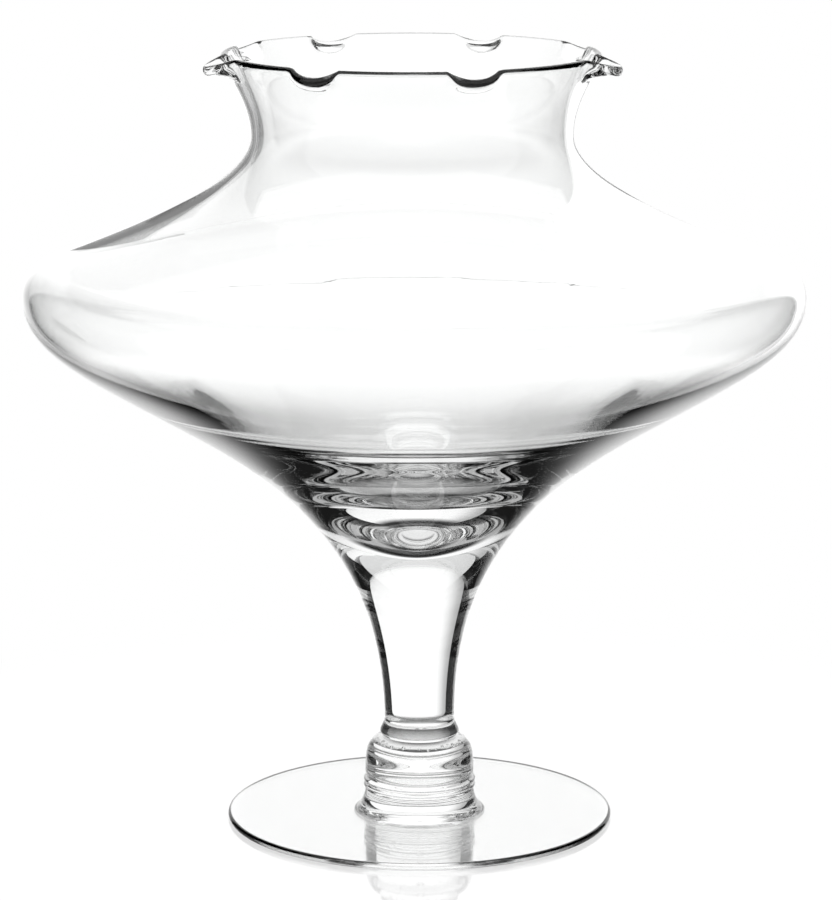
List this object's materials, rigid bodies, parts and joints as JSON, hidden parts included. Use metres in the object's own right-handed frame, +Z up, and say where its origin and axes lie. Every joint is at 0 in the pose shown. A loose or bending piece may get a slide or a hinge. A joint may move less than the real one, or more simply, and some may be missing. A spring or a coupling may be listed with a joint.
{
  "type": "violet bowl",
  "caption": "Footed bowl of clear blown glass for cut flowers, with a wide belly, narrow neck and crimped lip on a drawn stem with a knop.",
  "frame": {"origin": "middle of the foot, on the table that it stands on", "axes": "+Z up along the stem, -Y towards the viewer of the picture, +X to the viewer's right"},
  "size_m": [0.1996, 0.1996, 0.2004],
  "materials": {
    "clear_glass": "fire-polished, colourless"
  },
  "bodies": {
    "root": {"foot": "clear_glass", "lower_wafer": "clear_glass", "knop": "clear_glass", "upper_wafer": "clear_glass", "stem": "clear_glass", "bowl": "clear_glass"}
  },
  "joints": []
}
